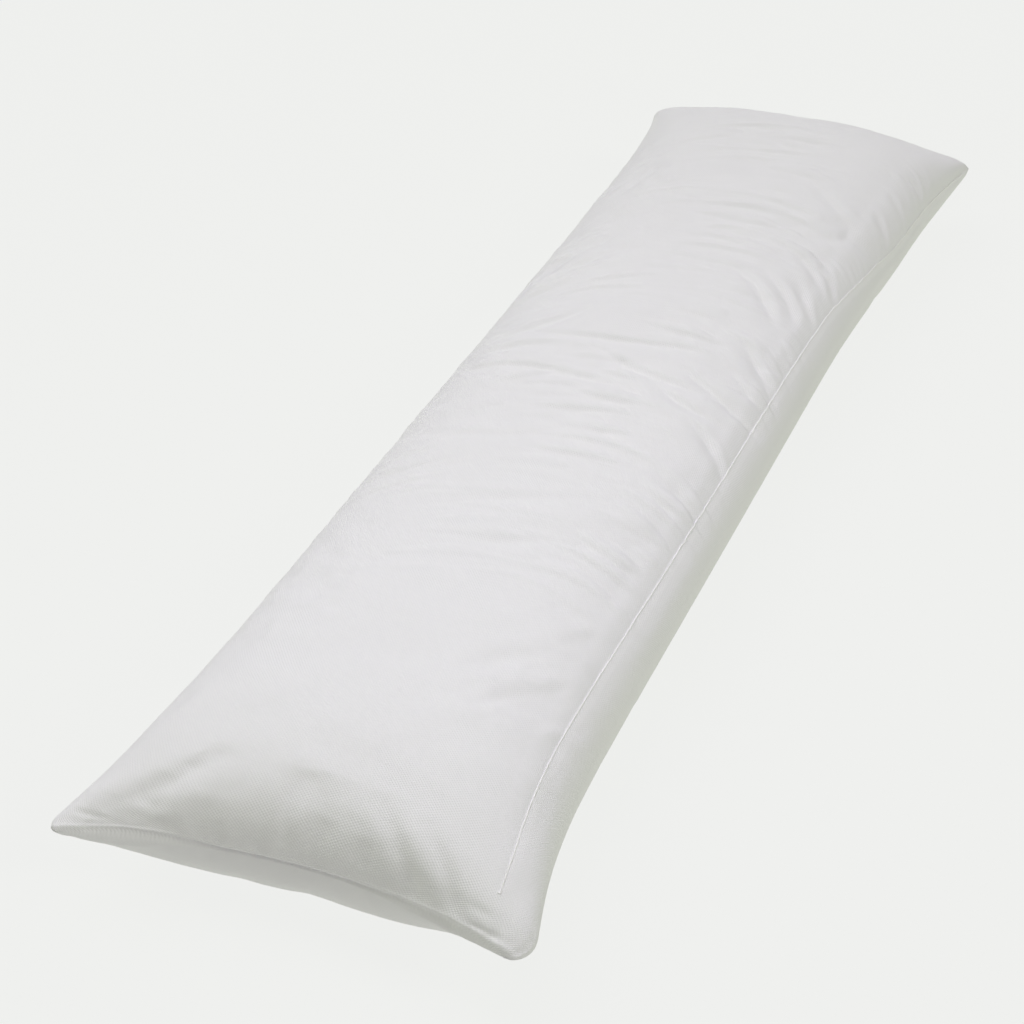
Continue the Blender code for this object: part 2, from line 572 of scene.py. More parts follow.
@dataclass(frozen=True)
class Filling:
    """The filling's pressure, which settles the cloth into soft gathers on a coarser copy."""

    cell: float = 0.012
    pressure: float = 4.0
    volume: float = 0.045
    frames: int = 20
    solver_steps: int = 5
    cloth_mass: float = 0.05
    stretch_stiffness: float = 40.0
    shear_stiffness: float = 12.0
    bend_stiffness: float = 0.1
    air_drag: float = 5.0
    gather_length: float = 0.036
    most_movement: float = 0.0025
    rim_fade: float = 0.080

    def press(self, piece: Piece) -> Values:
        """Runs the cloth under pressure, with the flat cloth as its size when slack.

        Args:
            piece: The coarse pillow, with its cloth places on its points.

        Returns:
            Where each point ends.
        """
        across, along = read_values(piece, "cloth_across"), read_values(piece, "cloth_along")
        piece.shape_key_add(name="Filled")
        flat = piece.shape_key_add(name="Flat cloth")
        cut = np.stack([across, along, np.zeros(len(across))], axis=1)
        flat.data.foreach_set("co", cut.astype(np.float32).ravel())
        flat.value = 0.0
        cloth = piece.modifiers.new("Filling", "CLOTH")
        settings = cloth.settings
        settings.quality = self.solver_steps
        settings.mass = self.cloth_mass
        settings.air_damping = self.air_drag
        settings.tension_stiffness = settings.compression_stiffness = self.stretch_stiffness
        settings.shear_stiffness = self.shear_stiffness
        settings.bending_stiffness = self.bend_stiffness
        settings.use_pressure = True
        settings.uniform_pressure_force = self.pressure
        settings.use_pressure_volume = True
        settings.target_volume = self.volume
        settings.effector_weights.gravity = 0.0
        settings.rest_shape_key = flat
        cloth.collision_settings.use_collision = False
        cloth.point_cache.frame_start = 1
        cloth.point_cache.frame_end = self.frames
        for number in range(1, self.frames + 1):
            bpy.context.scene.frame_set(number)
        settled = piece.evaluated_get(bpy.context.evaluated_depsgraph_get()).to_mesh()
        places = read_each(settled.vertices, "co", 3)
        bpy.context.scene.frame_set(1)
        return places

    def gathers(self, movement: Values) -> Values:
        """The gathers in a grid of movements, without the even swelling, and with their size capped.

        Args:
            movement: How far each grid point moved.

        Returns:
            What is left of it.
        """
        width = 2 * int(self.gather_length / self.cell) + 1
        folded = movement - even_out(even_out(movement, width, 0), width, 1)
        size = np.linalg.norm(folded, axis=2, keepdims=True)
        return folded * self.most_movement / np.maximum(size, self.most_movement)


@dataclass
class BodyPillow:
    """The filled pillow: two sides in one cloth, sewn at both ends, with its folds and end seams."""

    form: PillowForm = field(default_factory=PillowForm)
    plan: ClothPlan = field(default_factory=ClothPlan)
    filling: Filling = field(default_factory=Filling)
    folds: tuple[Fold, ...] = ()
    unevenness: tuple[Waves, ...] = (
        Waves(height=0.0009, length=0.220, seed=3),
        Waves(height=0.0003, length=0.060, seed=5),
    )
    ripples: Ripples = field(default_factory=Ripples)
    set_left: float = 0.0012
    end_groove_depth: float = 0.0013
    end_groove_half_width: float = 0.0011
    end_lip_height: float = 0.0006
    end_lip_place: float = 0.0032
    end_lip_half_width: float = 0.0015
    gather_height: float = 0.0004
    gather_wave: float = 0.016
    gather_reach: float = 0.022
    gather_start: float = 0.006
    gather_slope: float = 0.15
    gather_shift: float = 0.4
    gather_seed: int = 11
    even_ends: float = 0.050
    resting_height: float = 0.012
    facing_up_from: float = 0.4
    facing_up_over: float = 0.5
    rim_power: float = 6.0

    def __post_init__(self) -> None:
        """Works out how the cloth's distances run round the section and over an end."""
        turn = np.linspace(0, np.pi, self.plan.ladder_steps)
        across, rise = self.form.section(turn)
        half_width = self.form.ear_to_ear_width / 2 - self.form.side_draw
        steps = np.hypot(np.diff(across * half_width), np.diff(rise * self.form.crown_rise))
        self.turn_ladder = turn
        self.arc_ladder = np.concatenate([[0], np.cumsum(steps)])
        self.section_arc = float(self.arc_ladder[-1])

        share = np.linspace(0, 1, self.plan.ladder_steps)
        from_tip = self.form.half_length * share**3
        rise_at = self.form.fullness(from_tip) * self.form.crown_rise
        steps = np.hypot(np.diff(from_tip), np.diff(rise_at))
        self.tip_ladder = from_tip
        self.end_ladder = np.concatenate([[0], np.cumsum(steps)])
        self.end_arc = float(self.end_ladder[-1])

    def turn_at(self, across: Values) -> Values:
        """The turn round the section of a place across the cloth."""
        return np.interp(self.section_arc / 2 - across, self.arc_ladder, self.turn_ladder)

    def on_form(self, across: Values, along: Values, sheet: Sheet) -> Values:
        """The places on the filled form of places on the cloth.

        Args:
            across: Where each point lies across the cloth.
            along: Where each point lies along the cloth.
            sheet: Which side the points are on.

        Returns:
            One place for each point.
        """
        turn = self.turn_at(across)
        share_across, _ = self.form.section(turn)
        from_seam = self.end_arc - np.abs(along)
        in_middle = np.interp(from_seam, self.end_ladder, self.tip_ladder)
        at_rim = from_seam * self.form.half_length / self.end_arc
        weight = np.abs(share_across) ** self.rim_power
        from_tip = in_middle * (1 - weight) + at_rim * weight
        sign = np.where(along < 0, -1.0, 1.0)
        return self.form.places(turn, sign * (self.form.half_length - from_tip), sheet)

    def lay_sheet(self, sheet: Sheet) -> Piece:
        """Makes one side of the pillow from a flat grid, with its cloth places stored on its points.

        Args:
            sheet: Which side to make.

        Returns:
            The side.
        """
        columns, rows = self.grid_marks()
        deselect_all()
        bpy.ops.mesh.primitive_grid_add(
            x_subdivisions=len(columns) - 1, y_subdivisions=len(rows) - 1, size=2.0, location=(0, 0, 0)
        )
        piece = bpy.context.active_object
        flat = points_of(piece)
        column = np.rint((flat[:, 0] + 1) / 2 * (len(columns) - 1)).astype(int)
        row = np.rint((flat[:, 1] + 1) / 2 * (len(rows) - 1)).astype(int)
        across, along = columns[column], rows[row]
        put_points(piece, self.on_form(across, along, sheet))
        write_values(piece, "cloth_across", across)
        write_values(piece, "cloth_along", along)
        on_rim = (column == 0) | (column == len(columns) - 1) | (row == 0) | (row == len(rows) - 1)
        side = 1.0 if sheet is Sheet.UPPER else 0.0
        write_values(piece, "upper_side", np.where(on_rim, 0.5, side))
        if sheet is Sheet.LOWER:
            with editing(piece):
                bpy.ops.mesh.flip_normals()
        return piece

    def sew_together(self, upper: Piece, lower: Piece) -> Piece:
        """Joins the two sides and merges their rims.

        Args:
            upper: The upper side.
            lower: The lower side.

        Returns:
            The closed pillow.
        """
        work_on(upper)
        lower.select_set(True)
        bpy.ops.object.join()
        with editing(upper):
            bpy.ops.mesh.remove_doubles(threshold=RIM_TOLERANCE)
        turn_outward(upper)
        upper.name = upper.data.name = "body_pillow"
        return upper

    def grid_marks(self) -> tuple[Values, Values]:
        """The cloth places of the grid's columns and rows.

        Returns:
            The columns' places across, and the rows' places along.
        """
        columns = self.section_arc / 2 - self.plan.steps_across(self.section_arc)[::-1]
        half_rows = self.plan.steps_from_end(self.end_arc)
        rows = np.concatenate([half_rows - self.end_arc, (self.end_arc - half_rows)[::-1][1:]])
        return columns, rows

    def settle(self, piece: Piece) -> None:
        """Moves the points as the filling's pressure gathers the cloth.

        Args:
            piece: The closed pillow.
        """
        cell = self.filling.cell
        coarse_plan = ClothPlan(cell_along=cell, cell_across=cell, first_cell=cell / 2, seam_cell=cell)
        trial = BodyPillow(form=self.form, plan=coarse_plan)
        cloth = trial.sew_together(trial.lay_sheet(Sheet.UPPER), trial.lay_sheet(Sheet.LOWER))
        start, side = points_of(cloth), read_values(cloth, "upper_side")
        across, along = cloth_places(cloth)
        movement = self.filling.press(cloth) - start
        columns, rows = trial.grid_marks()
        column = np.abs(across[:, None] - columns[None]).argmin(axis=1)
        row = np.abs(along[:, None] - rows[None]).argmin(axis=1)
        bpy.data.objects.remove(cloth, do_unlink=True)

        here_across, here_along = cloth_places(piece)
        here_side = read_values(piece, "upper_side")
        at_column = np.interp(here_across, columns, np.arange(len(columns)))
        at_row = np.interp(here_along, rows, np.arange(len(rows)))
        left, low = np.floor(at_column).astype(int), np.floor(at_row).astype(int)
        right, high = np.minimum(left + 1, len(columns) - 1), np.minimum(low + 1, len(rows) - 1)
        share, rise = (at_column - left)[:, None], (at_row - low)[:, None]
        places = points_of(piece)
        from_rim = self.section_arc / 2 - np.abs(here_across)
        clear_of_rim = smooth_step(from_rim / self.filling.rim_fade)
        for upper in (1.0, 0.0):
            on_side = side != 1 - upper
            grid = np.zeros((len(rows), len(columns), 3))
            grid[row[on_side], column[on_side]] = movement[on_side]
            grid = self.filling.gathers(grid)
            below = grid[low, left] * (1 - share) + grid[low, right] * share
            above = grid[high, left] * (1 - share) + grid[high, right] * share
            weight = (np.clip(1 - np.abs(here_side - upper), 0, 1) * clear_of_rim)[:, None]
            places += (below * (1 - rise) + above * rise) * weight
        put_points(piece, places)

    def refine(self, piece: Piece) -> None:
        """Halves every cell and smooths the form.

        Args:
            piece: The settled pillow.
        """
        work_on(piece)
        smoothing = piece.modifiers.new("Soft form", "SUBSURF")
        smoothing.levels = 1
        smoothing.render_levels = 1
        bpy.ops.object.modifier_apply(modifier=smoothing.name)
        bpy.ops.object.shade_smooth()

    def put_on_origin(self, piece: Piece) -> None:
        """Puts the middle of the mesh over the origin, and then sets it a little to the left.

        Args:
            piece: The refined pillow.
        """
        places = points_of(piece)
        middle = (places.min(axis=0) + places.max(axis=0)) / 2
        self.shift = middle[:2] + np.array([self.set_left, 0.0])
        places[:, :2] -= self.shift
        put_points(piece, places)

    def shape_cloth(self, piece: Piece) -> None:
        """Moves the points in and out for the uneven filling, the folds and the drawn-in end seams.

        Args:
            piece: The pillow at its place.
        """
        across, along = cloth_places(piece)
        upper = smooth_step(read_values(piece, "upper_side"))
        places, outward = points_of(piece), normals_of(piece)
        lifted = 1 - smooth_step((self.resting_height - places[:, 2]) / self.resting_height)
        height = np.zeros(len(places))
        for waves in self.unevenness:
            height += waves.height * even_noise(across, along, waves.length, waves.seed)
        from_seam = self.end_arc - np.abs(along)
        facing_up = smooth_step((outward[:, 2] - self.facing_up_from) / self.facing_up_over)
        height += self.ripples.heights(across, along) * upper
        height *= smooth_step(from_seam / self.even_ends) * facing_up
        folded, here = np.zeros(len(places)), np.stack([across, along], axis=1)
        for fold in self.folds:
            fold.press_into(folded, here)
        height += folded * upper

        beside = self.gather_slope * along + upper * self.gather_shift
        gather = even_noise(across, beside, self.gather_wave, self.gather_seed)
        fading = np.exp(-from_seam / self.gather_reach) * smooth_step(from_seam / self.gather_start)
        height += self.gather_height * gather * fading
        height -= self.end_groove_depth * np.exp(-((from_seam / self.end_groove_half_width) ** 2))
        from_lip = (from_seam - self.end_lip_place) / self.end_lip_half_width
        height += self.end_lip_height * np.exp(-(from_lip**2)) * upper
        places += outward * (height * lifted)[:, None]
        places[:, 2] = np.maximum(places[:, 2], 0)
        put_points(piece, places)

    def build(self) -> Piece:
        """Makes the whole pillow.

        Returns:
            The pillow.
        """
        piece = self.sew_together(self.lay_sheet(Sheet.UPPER), self.lay_sheet(Sheet.LOWER))
        self.settle(piece)
        self.refine(piece)
        self.put_on_origin(piece)
        self.shape_cloth(piece)
        return piece

    def add_weave_map(self, piece: Piece) -> None:
        """Gives every face its place on the cloth in metres, for the weave.

        Args:
            piece: The finished pillow.
        """
        layers = piece.data.uv_layers
        layer = layers.get("cloth_metres") or layers.new(name="cloth_metres")
        corners = read_each(piece.data.loops, "vertex_index", kind=np.int32)
        on_cloth = np.stack(cloth_places(piece), axis=1)[corners]
        layer.data.foreach_set("uv", on_cloth.astype(np.float32).ravel())


@dataclass
class ClosingSeam:
    """The raised seam along the right side, one stitch repeated, with the tack that ends it.

    The tack curls back from the seam's near end. Its path is counted in tack lengths.
    """

    pillow: BodyPillow
    places: tuple[SeamPlace, ...]
    stitch_length: float = 0.0032
    radius: float = 0.00068
    waist: float = 0.80
    sunk: float = 0.0003
    stitch_sides: int = 8
    ring_shares: tuple[float, ...] = (0.2, 0.5, 0.8)
    waist_share: float = 0.05
    tack_length: float = 0.0025
    tack_across: tuple[float, ...] = (1.0, 0.55, 0.15)
    tack_along: tuple[float, ...] = (0.10, 0.35, 0.25)
    path_step: float = 0.003
    even_steps: int = 21
    band_width: float = 0.0075
    band_edge: float = 0.0015
    band_fade: float = 0.060
    band_from_side: float = 0.6
    groove_place: float = 0.0016
    groove_half_width: float = 0.0016
    groove_depth: float = 0.0004
    pull_half_width: float = 0.016
    pull_depth: float = 0.0016

    def on_cloth(self) -> Values:
        """The seam's path on the cloth, as across and along, from the near end to the far ear.

        Returns:
            One row of across and along for each point.
        """
        marks = np.array([(place.along, place.from_rim) for place in self.places])
        along = np.arange(marks[0, 0], marks[-1, 0], self.path_step)
        from_rim = even_out(np.interp(along, marks[:, 0], marks[:, 1]), self.even_steps)
        return np.stack([self.pillow.section_arc / 2 - from_rim, along], axis=1)

    def beside(self, piece: Piece) -> tuple[Values, Values]:
        """How far each point lies outside the seam, and how far past the seam's near end.

        Args:
            piece: The pillow.

        Returns:
            Both distances for each point.
        """
        across, along = cloth_places(piece)
        path = self.on_cloth()
        return across - np.interp(along, path[:, 1], path[:, 0]), along - path[0, 1]

    def on_surface(self, piece: Piece) -> Values:
        """The seam's path on the finished pillow.

        Args:
            piece: The finished pillow.

        Returns:
            Points along the seam, from the tack to the far ear.
        """
        cloth = self.on_cloth()
        tack = cloth[0] - self.tack_length * np.stack([self.tack_across, self.tack_along], axis=1)
        cloth = np.concatenate([tack, cloth])
        places = self.pillow.on_form(cloth[:, 0], cloth[:, 1], Sheet.UPPER)
        places[:, :2] -= self.pillow.shift
        mesh = piece.data
        tree = BVHTree.FromPolygons([p.co for p in mesh.vertices], [f.vertices for f in mesh.polygons])
        nearest = [tree.find_nearest(Vector(place)) for place in places]
        raised = self.radius / 2 - self.sunk
        return np.array([where + outward * raised for where, outward, _, _ in nearest])

    def make_stitch(self, length: float) -> Piece:
        """One stitch of the raised seam, lying along X and drawn in at both ends.

        Args:
            length: The stitch's length.

        Returns:
            The stitch.
        """
        deselect_all()
        bpy.ops.mesh.primitive_cylinder_add(
            vertices=self.stitch_sides,
            radius=self.radius,
            depth=length,
            end_fill_type="NOTHING",
            location=(length / 2, 0, 0),
            rotation=(0, math.pi / 2, 0),
        )
        stitch = bpy.context.active_object
        bpy.ops.object.transform_apply(location=True, rotation=True, scale=True)
        with editing(stitch):
            for share in self.ring_shares:
                bpy.ops.mesh.select_all(action="SELECT")
                bpy.ops.mesh.bisect(plane_co=(length * share, 0, 0), plane_no=(1, 0, 0))
        places = points_of(stitch)
        at_end = np.minimum(places[:, 0], length - places[:, 0]) < length * self.waist_share
        places[at_end, 1:] *= self.waist
        put_points(stitch, places)
        return stitch

    def build(self, piece: Piece) -> Piece:
        """Makes the seam on the finished pillow.

        Args:
            piece: The finished pillow.

        Returns:
            The seam as one mesh.
        """
        path = self.on_surface(piece)
        length = float(np.linalg.norm(np.diff(path, axis=0), axis=1).sum())
        count = int(round(length / self.stitch_length))
        line = bpy.data.curves.new("closing_seam_line", "CURVE")
        line.dimensions = "3D"
        spline = line.splines.new("POLY")
        spline.points.add(len(path) - 1)
        for point, place in zip(spline.points, path):
            point.co = (*place, 1.0)
        guide = add_object("closing_seam_line", line)
        seam = self.make_stitch(length / count)
        seam.name = seam.data.name = "closing_seam"
        work_on(seam)
        row = seam.modifiers.new("Stitches", "ARRAY")
        row.fit_type = "FIXED_COUNT"
        row.count = count
        row.use_merge_vertices = True
        row.merge_threshold = RIM_TOLERANCE
        along = seam.modifiers.new("Along the seam", "CURVE")
        along.object = guide
        along.deform_axis = "POS_X"
        bpy.ops.object.modifier_apply(modifier=row.name)
        bpy.ops.object.modifier_apply(modifier=along.name)
        with editing(seam, "DESELECT"):
            bpy.ops.mesh.select_non_manifold(extend=False)
            bpy.ops.mesh.edge_face_add()
        turn_outward(seam)
        bpy.ops.object.shade_smooth()
        bpy.data.objects.remove(guide, do_unlink=True)
        return seam

    def press_groove(self, piece: Piece) -> None:
        """Draws the cloth down softly beside the seam, with a narrow groove on its inner side.

        Args:
            piece: The pillow.
        """
        outside, begun = self.beside(piece)
        groove = np.exp(-(((outside + self.groove_place) / self.groove_half_width) ** 2))
        groove *= smooth_step(begun / self.stitch_length) * self.groove_depth
        pull = np.exp(-((outside / self.pull_half_width) ** 2)) * smooth_step(begun / self.band_fade)
        sunk = (groove + pull * self.pull_depth) * smooth_step(2 * read_values(piece, "upper_side") - 1)
        put_points(piece, points_of(piece) - normals_of(piece) * sunk[:, None])

    def mark_band(self, piece: Piece) -> None:
        """Stores on the pillow where the cloth lies double, in a band on the seam's outer side.

        Args:
            piece: The pillow.
        """
        outside, begun = self.beside(piece)
        band = smooth_step(outside / self.band_edge + 0.5)
        band *= 1 - smooth_step((outside - self.band_width) / self.band_edge + 0.5)
        band *= smooth_step(begun / self.band_fade)
        on_top = read_values(piece, "upper_side") > self.band_from_side
        write_values(piece, "beside_seam", band * on_top)


class Bench:
    """A small helper that adds nodes to one material and joins them."""

    def __init__(self, name: str, finish: dict[str, object]) -> None:
        """Starts a material with its shader and output.

        Args:
            name: The material's name.
            finish: What the shader's inputs get.
        """
        self.material = bpy.data.materials.new(name)
        self.material.use_nodes = True
        self.tree = self.material.node_tree
        self.shader = self.tree.nodes["Principled BSDF"]
        self.fill(self.shader, finish)

    def fill(self, node: bpy.types.Node, inputs: dict[str | int, object]) -> None:
        """Sets or joins a node's inputs, each to a value or to another node's socket.

        Args:
            node: The node.
            inputs: What each input gets, under its name or number.
        """
        for place, value in inputs.items():
            if isinstance(value, Socket):
                self.tree.links.new(value, node.inputs[place])
            else:
                node.inputs[place].default_value = value

    def add(
        self, kind: str, inputs: dict[str | int, object] | None = None, **settings: object
    ) -> bpy.types.Node:
        """Adds one node, sets its fields and then its inputs.

        Args:
            kind: The node's type.
            inputs: What its inputs get.
            **settings: What its fields get.

        Returns:
            The node.
        """
        node = self.tree.nodes.new(kind)
        for name, value in settings.items():
            setattr(node, name, value)
        self.fill(node, inputs or {})
        return node

    def sum_up(self, operation: str, *values: object) -> Socket:
        """A Math node on numbers or sockets, and its result."""
        return self.add("ShaderNodeMath", dict(enumerate(values)), operation=operation).outputs[0]

    def on_piece(self) -> Socket:
        """The place on the piece, in metres."""
        return self.add("ShaderNodeTexCoord").outputs["Object"]

    def noise(self, size: float, detail: float, place: Socket) -> Socket:
        """A noise with spots of about this size."""
        inputs = {"Vector": place, "Scale": 1 / size, "Detail": detail}
        return self.add("ShaderNodeTexNoise", inputs).outputs["Fac"]

    def bump(
        self,
        height: Socket,
        depth: float,
        strength: float = 1.0,
        below: Socket | None = None,
    ) -> Socket:
        """Relief of this depth in metres, on top of other relief if it is given.

        Args:
            height: The pattern that is raised.
            depth: How high it is.
            strength: How much of it shows.
            below: The normal of the relief below.

        Returns:
            The normal.
        """
        inputs = {"Height": height, "Distance": depth, "Strength": strength}
        if below:
            inputs["Normal"] = below
        return self.add("ShaderNodeBump", inputs).outputs["Normal"]

    def attribute(self, name: str) -> Socket:
        """A number that is stored on the piece's points."""
        return self.add("ShaderNodeAttribute", attribute_name=name).outputs["Fac"]

    def shade(self, colour: Colour, tone: Socket) -> None:
        """Gives the shader this colour times a tone."""
        dyed = self.add("ShaderNodeVectorMath", {0: colour, "Scale": tone}, operation="SCALE")
        self.fill(self.shader, {"Base Color": dyed.outputs[0]})


@dataclass(frozen=True)
class WhiteCotton:
    """White woven cotton: a fine chequered weave, slight unevenness and a soft sheen.

    The weave is fainter underneath. The band is where the cloth lies double beside the closing seam.
    """

    colour: Colour = (0.800, 0.800, 0.806)
    colour_spread: float = 0.02
    colour_patch: float = 1 / 9
    colour_detail: float = 2.0
    thread_pitch: float = 0.00140
    weave_turn_deg: float = 8.0
    weave_depth: float = 0.00022
    weave_strength: float = 0.90
    weave_shade: float = 0.05
    weave_underneath: float = 0.3
    crumple_size: float = 0.012
    crumple_detail: float = 3.0
    crumple_depth: float = 0.00022
    roughness: float = 0.88
    gloss: float = 0.2
    sheen: float = 0.12
    sheen_roughness: float = 0.5
    band_lift: float = 0.04

    def weave(self, bench: Bench) -> Socket:
        """The chequered weave, around 0.5.

        Args:
            bench: The material's bench.

        Returns:
            The weave's height.
        """
        cloth = bench.add("ShaderNodeUVMap", uv_map="cloth_metres").outputs["UV"]
        turn = (0, 0, math.radians(self.weave_turn_deg))
        turned = bench.add("ShaderNodeMapping", {"Vector": cloth, "Rotation": turn})
        axes = bench.add("ShaderNodeSeparateXYZ", {0: turned.outputs["Vector"]})
        per_metre = math.pi / self.thread_pitch
        warp, weft = (
            bench.sum_up("SINE", bench.sum_up("MULTIPLY", axes.outputs[axis], per_metre))
            for axis in "XY"
        )
        under = self.weave_underneath / 2
        clear = bench.sum_up("MULTIPLY_ADD", bench.attribute("upper_side"), 0.5 - under, under)
        return bench.sum_up("MULTIPLY_ADD", bench.sum_up("MULTIPLY", warp, weft), clear, 0.5)

    def material(self) -> bpy.types.Material:
        """Builds the material.

        Returns:
            The material.
        """
        finish = {
            "Roughness": self.roughness,
            "Sheen Weight": self.sheen,
            "Sheen Roughness": self.sheen_roughness,
            "Specular IOR Level": self.gloss,
        }
        bench = Bench("white_cotton", finish)
        weave, place = self.weave(bench), bench.on_piece()
        crumple = bench.noise(self.crumple_size, self.crumple_detail, place)
        soft = bench.bump(crumple, self.crumple_depth)
        threads = bench.bump(weave, self.weave_depth, self.weave_strength, soft)
        bench.fill(bench.shader, {"Normal": threads})

        patches = bench.noise(self.colour_patch, self.colour_detail, place)
        tone = bench.sum_up("MULTIPLY_ADD", patches, self.colour_spread, 1 - self.colour_spread / 2)
        tone = bench.sum_up("MULTIPLY_ADD", bench.attribute("beside_seam"), self.band_lift, tone)
        woven = bench.sum_up("MULTIPLY_ADD", weave, self.weave_shade, -self.weave_shade / 2)
        bench.shade(self.colour, bench.sum_up("ADD", tone, woven))
        return bench.material


@dataclass(frozen=True)
class SewingCotton:
    """The white thread and the raised edge of cloth that it binds."""

    colour: Colour = (0.86, 0.86, 0.855)
    colour_spread: float = 0.06
    strand_size: float = 0.0004
    strand_detail: float = 2.0
    strand_depth: float = 0.0001
    roughness: float = 0.7
    gloss: float = 0.25
    sheen: float = 0.1

    def material(self) -> bpy.types.Material:
        """Builds the material.

        Returns:
            The material.
        """
        finish = {
            "Roughness": self.roughness,
            "Sheen Weight": self.sheen,
            "Specular IOR Level": self.gloss,
        }
        bench = Bench("sewing_cotton", finish)
        strands = bench.noise(self.strand_size, self.strand_detail, bench.on_piece())
        bench.fill(bench.shader, {"Normal": bench.bump(strands, self.strand_depth)})
        tone = bench.sum_up("MULTIPLY_ADD", strands, self.colour_spread, 1 - self.colour_spread / 2)
        bench.shade(self.colour, tone)
        return bench.material


@dataclass(frozen=True)
class SoftLight:
    """A wide, soft light from far away."""

    name: str
    azimuth_deg: float
    elevation_deg: float
    width_deg: float
    colour: Colour

    def build(self) -> None:
        """Adds the light."""
        strength = max(self.colour)
        data = bpy.data.lights.new(self.name, "SUN")
        data.energy = strength * math.pi
        data.color = [part / strength for part in self.colour]
        data.angle = math.radians(self.width_deg)
        light = add_object(self.name, data)
        light.rotation_mode = "QUATERNION"
        source = towards(self.azimuth_deg, self.elevation_deg)
        light.rotation_quaternion = source.to_track_quat("Z", "Y")


@dataclass(frozen=True)
class SoftBox:
    """A square, soft light close above, which lights what is near it most."""

    name: str
    place: tuple[float, float, float]
    side: float
    colour: Colour

    def build(self) -> None:
        """Adds the light, facing straight down."""
        strength = max(self.colour)
        data = bpy.data.lights.new(self.name, "AREA")
        data.shape = "SQUARE"
        data.size = self.side
        data.energy = strength * math.pi**2 * self.place[2] ** 2
        data.color = [part / strength for part in self.colour]
        add_object(self.name, data).location = self.place


@dataclass
class Studio:
    """A plain pale floor, plain soft light and the camera.

    The floor glows evenly to the camera, and returns a little less light to the pillow.
    """

    eye: tuple[float, float, float] = (0.6297, -1.8706, 1.2165)
    azimuth_deg: float = 21.25
    elevation_deg: float = 32.5
    focal_pixels: float = 2452.0
    picture_pixels: float = 1024.0
    sensor_width: float = 36.0
    floor_size: float = 60.0
    floor_height: float = -0.0004
    floor_colour: Colour = (0.04, 0.04, 0.04)
    floor_glow: Colour = (0.826, 0.833, 0.817)
    floor_return: Colour = (0.738, 0.748, 0.688)
    backdrop: Colour = (0.86, 0.86, 0.85)
    lights: tuple[SoftLight, ...] = (
        SoftLight("far_left", -45, 50, 50, (0.463, 0.422, 0.529)),
        SoftLight("left", -90, 40, 50, (0.212, 0.252, 0.141)),
        SoftLight("near", 180, 50, 50, (0.179, 0.166, 0.180)),
        SoftLight("right", 90, 35, 20, (0.344, 0.357, 0.305)),
    )
    box: SoftBox = SoftBox("above_near", (0.15, -0.35, 1.2), 0.8, (0.156, 0.151, 0.173))

    def build_floor(self) -> None:
        """Adds the floor, which is not part of the object."""
        deselect_all()
        bpy.ops.mesh.primitive_plane_add(size=self.floor_size, location=(0, 0, self.floor_height))
        floor = bpy.context.active_object
        floor.name = "floor"
        finish = {
            "Base Color": (*self.floor_colour, 1),
            "Roughness": 1.0,
            "Specular IOR Level": 0.0,
            "Emission Strength": 1.0,
        }
        bench = Bench("pale_floor", finish)
        seen = bench.add("ShaderNodeLightPath").outputs["Is Camera Ray"]
        inputs = {"A": self.floor_return, "B": self.floor_glow, "Factor": seen}
        glow = bench.add("ShaderNodeMix", inputs, data_type="VECTOR")
        bench.fill(bench.shader, {"Emission Color": glow.outputs["Result"]})
        floor.data.materials.append(bench.material)

    def build_backdrop(self) -> None:
        """Makes the room pale behind the floor. The backdrop itself gives no light."""
        world = bpy.data.worlds.new("pale_room")
        bpy.context.scene.world = world
        world.use_nodes = True
        tree = world.node_tree
        back = tree.nodes["Background"]
        back.inputs["Color"].default_value = (*self.backdrop, 1)
        seen = tree.nodes.new("ShaderNodeLightPath")
        tree.links.new(seen.outputs["Is Camera Ray"], back.inputs["Strength"])

    def build_camera(self) -> None:
        """Adds the camera at the photograph's place and angle."""
        data = bpy.data.cameras.new("camera")
        data.sensor_width = self.sensor_width
        data.lens = self.focal_pixels / self.picture_pixels * self.sensor_width
        camera = add_object("camera", data)
        back = towards(180 - self.azimuth_deg, self.elevation_deg)
        camera.location = self.eye
        camera.rotation_mode = "QUATERNION"
        camera.rotation_quaternion = (-back).to_track_quat("-Z", "Y")
        bpy.context.scene.camera = camera

    def build(self) -> None:
        """Makes the whole studio."""
        self.build_floor()
        self.build_backdrop()
        for light in (*self.lights, self.box):
            light.build()
        self.build_camera()
        view = bpy.context.scene.view_settings
        view.view_transform = "Standard"
        view.look = "None"
        view.exposure = 0.0
        view.gamma = 1.0


